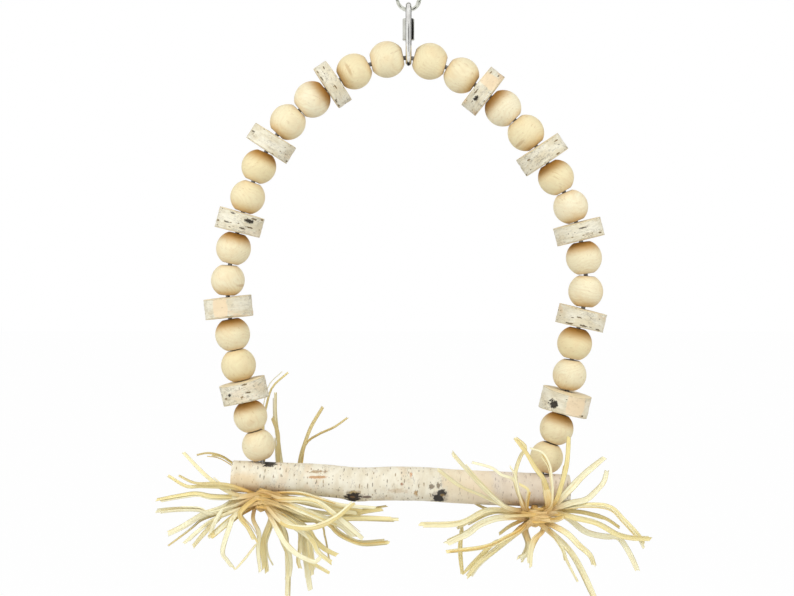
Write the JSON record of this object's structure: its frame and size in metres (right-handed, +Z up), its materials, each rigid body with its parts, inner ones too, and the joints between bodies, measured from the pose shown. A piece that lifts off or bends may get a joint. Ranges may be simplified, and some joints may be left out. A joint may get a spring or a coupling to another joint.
{
  "type": "bird swing",
  "caption": "Hanging bird swing: arched wire strung with round wooden beads and birch slices, a birch perch with raffia tufts, and a quick link on a split ring.",
  "frame": {"origin": "centre of the split ring that the swing hangs from, in the plane of the arch", "axes": "+X along the perch to the viewer's right, +Y away from the viewer through the hole of the ring, +Z up"},
  "size_m": [0.2747, 0.0379, 0.3457],
  "materials": {
    "ring_steel": "bright nickel-plated flat spring wire",
    "link_steel": "polished plated steel rod",
    "nut_steel": "polished plated hexagonal nut",
    "arch_steel": "drawn steel wire",
    "bead_wood": "plain turned pale wood, unvarnished",
    "slice_birch": "white birch bark round a pale sawn face",
    "perch_birch": "smooth white birch bark with dark marks and pale sawn ends",
    "raffia": "dry matt raffia strips",
    "tie_raffia": "thin dry raffia strip, wound tight"
  },
  "bodies": {
    "ring": {"split_ring": "ring_steel"},
    "link": {"link_body": "link_steel"},
    "nut": {"link_nut": "nut_steel"},
    "arch": {"arch_wire": "arch_steel", "perch": "perch_birch", "left_tie": "tie_raffia", "left_raffia": "raffia", "right_tie": "tie_raffia", "right_raffia": "raffia"},
    "left_bead_1": {"left_bead_1": "bead_wood"},
    "left_bead_2": {"left_bead_2": "bead_wood"},
    "left_slice_1": {"left_slice_1": "slice_birch"},
    "left_bead_3": {"left_bead_3": "bead_wood"},
    "left_bead_4": {"left_bead_4": "bead_wood"},
    "left_slice_2": {"left_slice_2": "slice_birch"},
    "left_bead_5": {"left_bead_5": "bead_wood"},
    "left_bead_6": {"left_bead_6": "bead_wood"},
    "left_slice_3": {"left_slice_3": "slice_birch"},
    "left_bead_7": {"left_bead_7": "bead_wood"},
    "left_bead_8": {"left_bead_8": "bead_wood"},
    "left_slice_4": {"left_slice_4": "slice_birch"},
    "left_bead_9": {"left_bead_9": "bead_wood"},
    "left_bead_10": {"left_bead_10": "bead_wood"},
    "left_slice_5": {"left_slice_5": "slice_birch"},
    "left_bead_11": {"left_bead_11": "bead_wood"},
    "left_bead_12": {"left_bead_12": "bead_wood"},
    "right_bead_1": {"right_bead_1": "bead_wood"},
    "right_bead_2": {"right_bead_2": "bead_wood"},
    "right_slice_1": {"right_slice_1": "slice_birch"},
    "right_bead_3": {"right_bead_3": "bead_wood"},
    "right_bead_4": {"right_bead_4": "bead_wood"},
    "right_slice_2": {"right_slice_2": "slice_birch"},
    "right_bead_5": {"right_bead_5": "bead_wood"},
    "right_bead_6": {"right_bead_6": "bead_wood"},
    "right_slice_3": {"right_slice_3": "slice_birch"},
    "right_bead_7": {"right_bead_7": "bead_wood"},
    "right_bead_8": {"right_bead_8": "bead_wood"},
    "right_slice_4": {"right_slice_4": "slice_birch"},
    "right_bead_9": {"right_bead_9": "bead_wood"},
    "right_bead_10": {"right_bead_10": "bead_wood"},
    "right_slice_5": {"right_slice_5": "slice_birch"},
    "right_bead_11": {"right_bead_11": "bead_wood"},
    "right_bead_12": {"right_bead_12": "bead_wood"}
  },
  "joints": [
    {"name": "link_swing", "type": "hinge", "parent": "ring", "child": "link", "pos_m": [0, 0, -0.0034], "axis": [0, 1, 0], "range_deg": [-45, 45]},
    {"name": "nut_screw_travel", "type": "slide", "parent": "link", "child": "nut", "axis": [0, 0, -1], "range_m": [0, 0.006]},
    {"name": "arch_swing", "type": "hinge", "parent": "link", "child": "arch", "pos_m": [0, 0, -0.03315], "axis": [1, 0, 0], "range_deg": [-70, 70]},
    {"name": "left_bead_1_spin", "type": "hinge", "parent": "arch", "child": "left_bead_1", "pos_m": [-0.01206, 0, -0.03401], "axis": [-0.9812, 0, -0.1929], "continuous": true},
    {"name": "left_bead_2_spin", "type": "hinge", "parent": "arch", "child": "left_bead_2", "pos_m": [-0.0304, 0, -0.04073], "axis": [-0.8845, 0, -0.4666], "continuous": true},
    {"name": "left_slice_1_spin", "type": "hinge", "parent": "arch", "child": "left_slice_1", "pos_m": [-0.04262, 0, -0.04806], "axis": [-0.8307, 0, -0.5567], "continuous": true},
    {"name": "left_bead_3_spin", "type": "hinge", "parent": "arch", "child": "left_bead_3", "pos_m": [-0.05385, 0, -0.05636], "axis": [-0.7765, 0, -0.6301], "continuous": true},
    {"name": "left_bead_4_spin", "type": "hinge", "parent": "arch", "child": "left_bead_4", "pos_m": [-0.06754, 0, -0.06904], "axis": [-0.6852, 0, -0.7284], "continuous": true},
    {"name": "left_slice_2_spin", "type": "hinge", "parent": "arch", "child": "left_slice_2", "pos_m": [-0.0769, 0, -0.08087], "axis": [-0.5395, 0, -0.842], "continuous": true},
    {"name": "left_bead_5_spin", "type": "hinge", "parent": "arch", "child": "left_bead_5", "pos_m": [-0.08378, 0, -0.094], "axis": [-0.3947, 0, -0.9188], "continuous": true},
    {"name": "left_bead_6_spin", "type": "hinge", "parent": "arch", "child": "left_bead_6", "pos_m": [-0.09003, 0, -0.11106], "axis": [-0.323, 0, -0.9464], "continuous": true},
    {"name": "left_slice_3_spin", "type": "hinge", "parent": "arch", "child": "left_slice_3", "pos_m": [-0.09444, 0, -0.12526], "axis": [-0.2601, 0, -0.9656], "continuous": true},
    {"name": "left_bead_7_spin", "type": "hinge", "parent": "arch", "child": "left_bead_7", "pos_m": [-0.09796, 0, -0.13972], "axis": [-0.2284, 0, -0.9736], "continuous": true},
    {"name": "left_bead_8_spin", "type": "hinge", "parent": "arch", "child": "left_bead_8", "pos_m": [-0.10113, 0, -0.15759], "axis": [-0.0653, 0, -0.9979], "continuous": true},
    {"name": "left_slice_4_spin", "type": "hinge", "parent": "arch", "child": "left_slice_4", "pos_m": [-0.10075, 0, -0.17286], "axis": [0.1019, 0, -0.9948], "continuous": true},
    {"name": "left_bead_9_spin", "type": "hinge", "parent": "arch", "child": "left_bead_9", "pos_m": [-0.09844, 0, -0.18793], "axis": [0.1715, 0, -0.9852], "continuous": true},
    {"name": "left_bead_10_spin", "type": "hinge", "parent": "arch", "child": "left_bead_10", "pos_m": [-0.09515, 0, -0.2052], "axis": [0.205, 0, -0.9788], "continuous": true},
    {"name": "left_slice_5_spin", "type": "hinge", "parent": "arch", "child": "left_slice_5", "pos_m": [-0.09194, 0, -0.2196], "axis": [0.2261, 0, -0.9741], "continuous": true},
    {"name": "left_bead_11_spin", "type": "hinge", "parent": "arch", "child": "left_bead_11", "pos_m": [-0.08851, 0, -0.23372], "axis": [0.2529, 0, -0.9675], "continuous": true},
    {"name": "left_bead_12_spin", "type": "hinge", "parent": "arch", "child": "left_bead_12", "pos_m": [-0.08399, 0, -0.25002], "axis": [0.2631, 0, -0.9648], "continuous": true},
    {"name": "right_bead_1_spin", "type": "hinge", "parent": "arch", "child": "right_bead_1", "pos_m": [0.01195, 0, -0.03505], "axis": [0.9655, 0, -0.2606], "continuous": true},
    {"name": "right_bead_2_spin", "type": "hinge", "parent": "arch", "child": "right_bead_2", "pos_m": [0.0296, 0, -0.04294], "axis": [0.8418, 0, -0.5397], "continuous": true},
    {"name": "right_slice_1_spin", "type": "hinge", "parent": "arch", "child": "right_slice_1", "pos_m": [0.04183, 0, -0.05176], "axis": [0.7869, 0, -0.6171], "continuous": true},
    {"name": "right_bead_3_spin", "type": "hinge", "parent": "arch", "child": "right_bead_3", "pos_m": [0.05293, 0, -0.06132], "axis": [0.7242, 0, -0.6896], "continuous": true},
    {"name": "right_bead_4_spin", "type": "hinge", "parent": "arch", "child": "right_bead_4", "pos_m": [0.06572, 0, -0.0751], "axis": [0.6351, 0, -0.7725], "continuous": true},
    {"name": "right_slice_2_spin", "type": "hinge", "parent": "arch", "child": "right_slice_2", "pos_m": [0.07473, 0, -0.08728], "axis": [0.5525, 0, -0.8335], "continuous": true},
    {"name": "right_bead_5_spin", "type": "hinge", "parent": "arch", "child": "right_bead_5", "pos_m": [0.08255, 0, -0.10006], "axis": [0.4999, 0, -0.8661], "continuous": true},
    {"name": "right_bead_6_spin", "type": "hinge", "parent": "arch", "child": "right_bead_6", "pos_m": [0.0908, 0, -0.11647], "axis": [0.3739, 0, -0.9275], "continuous": true},
    {"name": "right_slice_3_spin", "type": "hinge", "parent": "arch", "child": "right_slice_3", "pos_m": [0.09535, 0, -0.13042], "axis": [0.2469, 0, -0.969], "continuous": true},
    {"name": "right_bead_7_spin", "type": "hinge", "parent": "arch", "child": "right_bead_7", "pos_m": [0.0982, 0, -0.14505], "axis": [0.1452, 0, -0.9894], "continuous": true},
    {"name": "right_bead_8_spin", "type": "hinge", "parent": "arch", "child": "right_bead_8", "pos_m": [0.09921, 0, -0.16383], "axis": [-0.0822, 0, -0.9966], "continuous": true},
    {"name": "right_slice_4_spin", "type": "hinge", "parent": "arch", "child": "right_slice_4", "pos_m": [0.09661, 0, -0.17879], "axis": [-0.2324, 0, -0.9726], "continuous": true},
    {"name": "right_bead_9_spin", "type": "hinge", "parent": "arch", "child": "right_bead_9", "pos_m": [0.09299, 0, -0.19296], "axis": [-0.2098, 0, -0.9778], "continuous": true},
    {"name": "right_bead_10_spin", "type": "hinge", "parent": "arch", "child": "right_bead_10", "pos_m": [0.09015, 0, -0.21047], "axis": [-0.1427, 0, -0.9898], "continuous": true},
    {"name": "right_slice_5_spin", "type": "hinge", "parent": "arch", "child": "right_slice_5", "pos_m": [0.08756, 0, -0.22574], "axis": [-0.2346, 0, -0.9721], "continuous": true},
    {"name": "right_bead_11_spin", "type": "hinge", "parent": "arch", "child": "right_bead_11", "pos_m": [0.08291, 0, -0.24052], "axis": [-0.3289, 0, -0.9444], "continuous": true},
    {"name": "right_bead_12_spin", "type": "hinge", "parent": "arch", "child": "right_bead_12", "pos_m": [0.07729, 0, -0.25668], "axis": [-0.3004, 0, -0.9538], "continuous": true}
  ]
}
